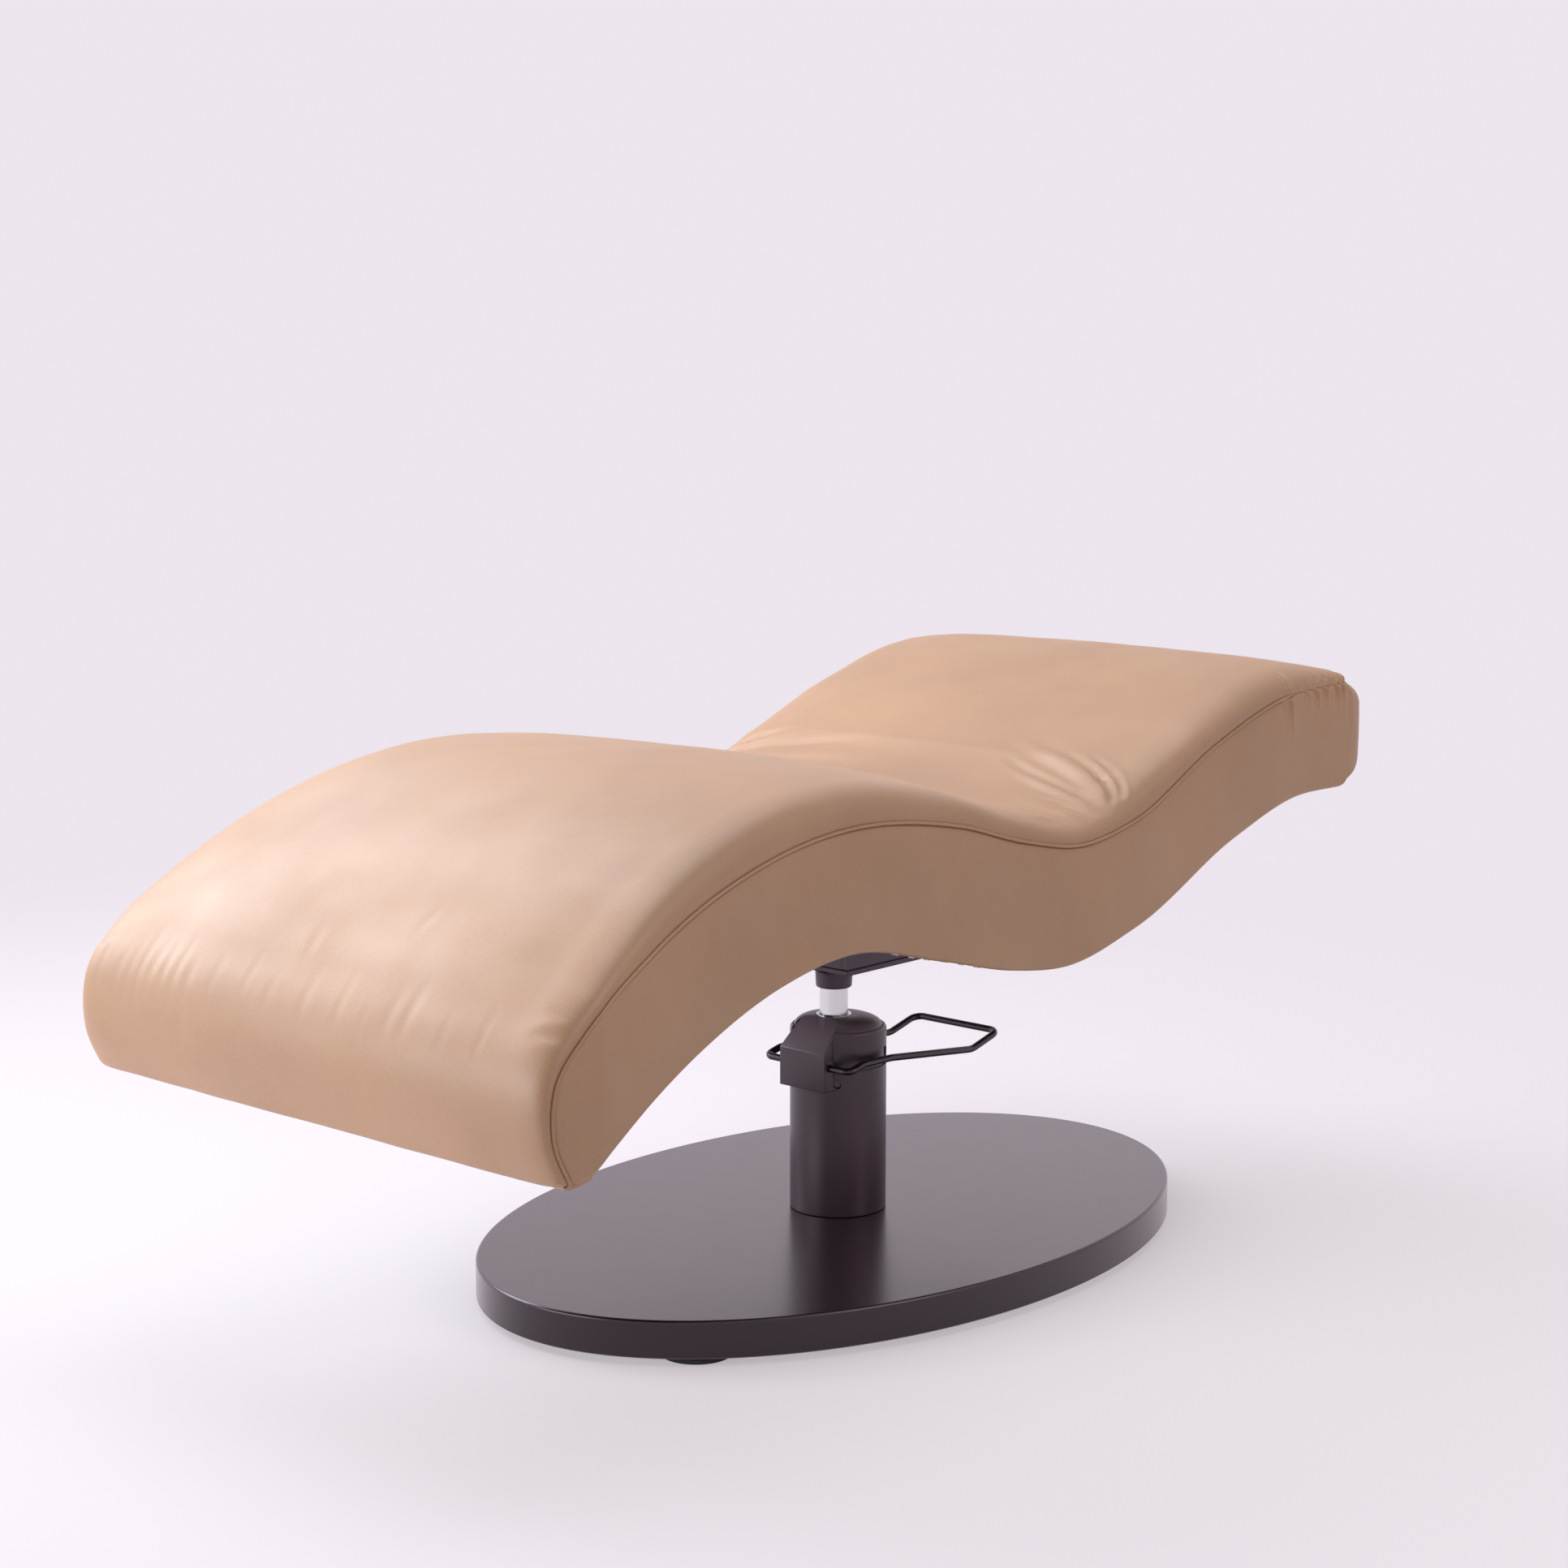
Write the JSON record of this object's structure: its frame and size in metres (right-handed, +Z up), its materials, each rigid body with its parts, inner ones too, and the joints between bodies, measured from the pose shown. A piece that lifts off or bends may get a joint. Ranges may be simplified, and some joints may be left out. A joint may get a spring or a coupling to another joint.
{
  "type": "eyelash extension bed",
  "caption": "Wave-shaped tan leather eyelash extension bed with piped sides on a hydraulic column with a foot lever and a flat oval black base",
  "frame": {"origin": "centre of the bounding box at floor level, under the bed", "axes": "+Y from the foot end to the head end, +X to the left-hand side of a client who lies on the back, +Z up"},
  "size_m": [0.7836, 1.6274, 0.7554],
  "materials": {
    "base_black": "semi-gloss black powder coat",
    "pump_black": "satin black enamel",
    "glide_rubber": "matte black",
    "bright_steel": "polished",
    "dark_steel": "plain steel",
    "lever_black": "satin black enamel",
    "mount_black": "black paint",
    "plywood": "raw birch ply, covered",
    "tan_leather": "smooth tan upholstery, soft sheen",
    "tan_piping": "tan piping, a little darker",
    "dust_cover": "dark woven dust cover"
  },
  "bodies": {
    "base": {"base_plate": "base_black", "base_ballast": "dark_steel", "base_spacer": "dark_steel", "glide_1": "glide_rubber", "glide_2": "glide_rubber", "glide_3": "glide_rubber", "glide_4": "glide_rubber", "pump_flange": "dark_steel", "flange_bolt_1": "dark_steel", "flange_bolt_2": "dark_steel", "flange_bolt_3": "dark_steel", "flange_bolt_4": "dark_steel", "pump_tube": "dark_steel", "rod_guide": "dark_steel", "wiper_ring": "bright_steel", "pump_cap": "pump_black", "pump_shell": "pump_black", "cover_screw_1": "dark_steel", "cover_screw_2": "dark_steel"},
    "lift": {"piston_rod": "bright_steel", "piston_head": "dark_steel"},
    "lever": {"foot_lever": "lever_black"},
    "bed": {"seat_socket": "mount_black", "mount_plate": "mount_black", "mount_web_left": "mount_black", "mount_web_right": "mount_black", "mount_cross_front": "mount_black", "mount_cross_rear": "mount_black", "socket_nut_1": "dark_steel", "socket_nut_2": "dark_steel", "socket_nut_3": "dark_steel", "socket_nut_4": "dark_steel", "side_board_left": "plywood", "side_board_right": "plywood", "cross_rail_1": "plywood", "cross_rail_2": "plywood", "cross_rail_3": "plywood", "cross_rail_4": "plywood", "cross_rail_5": "plywood", "cross_rail_6": "plywood", "head_board": "plywood", "seat_deck": "plywood", "bottom_panel": "dust_cover", "cushion": "tan_leather", "side_cover_left": "tan_leather", "side_cover_right": "tan_leather", "piping_left": "tan_piping", "piping_right": "tan_piping", "head_pad": "tan_leather"}
  },
  "joints": [
    {"name": "column_lift", "type": "slide", "parent": "base", "child": "lift", "axis": [0, 0, 1], "range_m": [-0.025, 0.13]},
    {"name": "bed_swivel", "type": "hinge", "parent": "lift", "child": "bed", "pos_m": [0, 0.0784, 0.355], "axis": [0, 0, 1], "continuous": true},
    {"name": "lever_stroke", "type": "hinge", "parent": "base", "child": "lever", "pos_m": [0, 0.0272, 0.255], "axis": [1, 0, 0], "range_deg": [-20, 0], "stiffness_Nm_per_rad": 3, "springref_deg": 34.38}
  ]
}
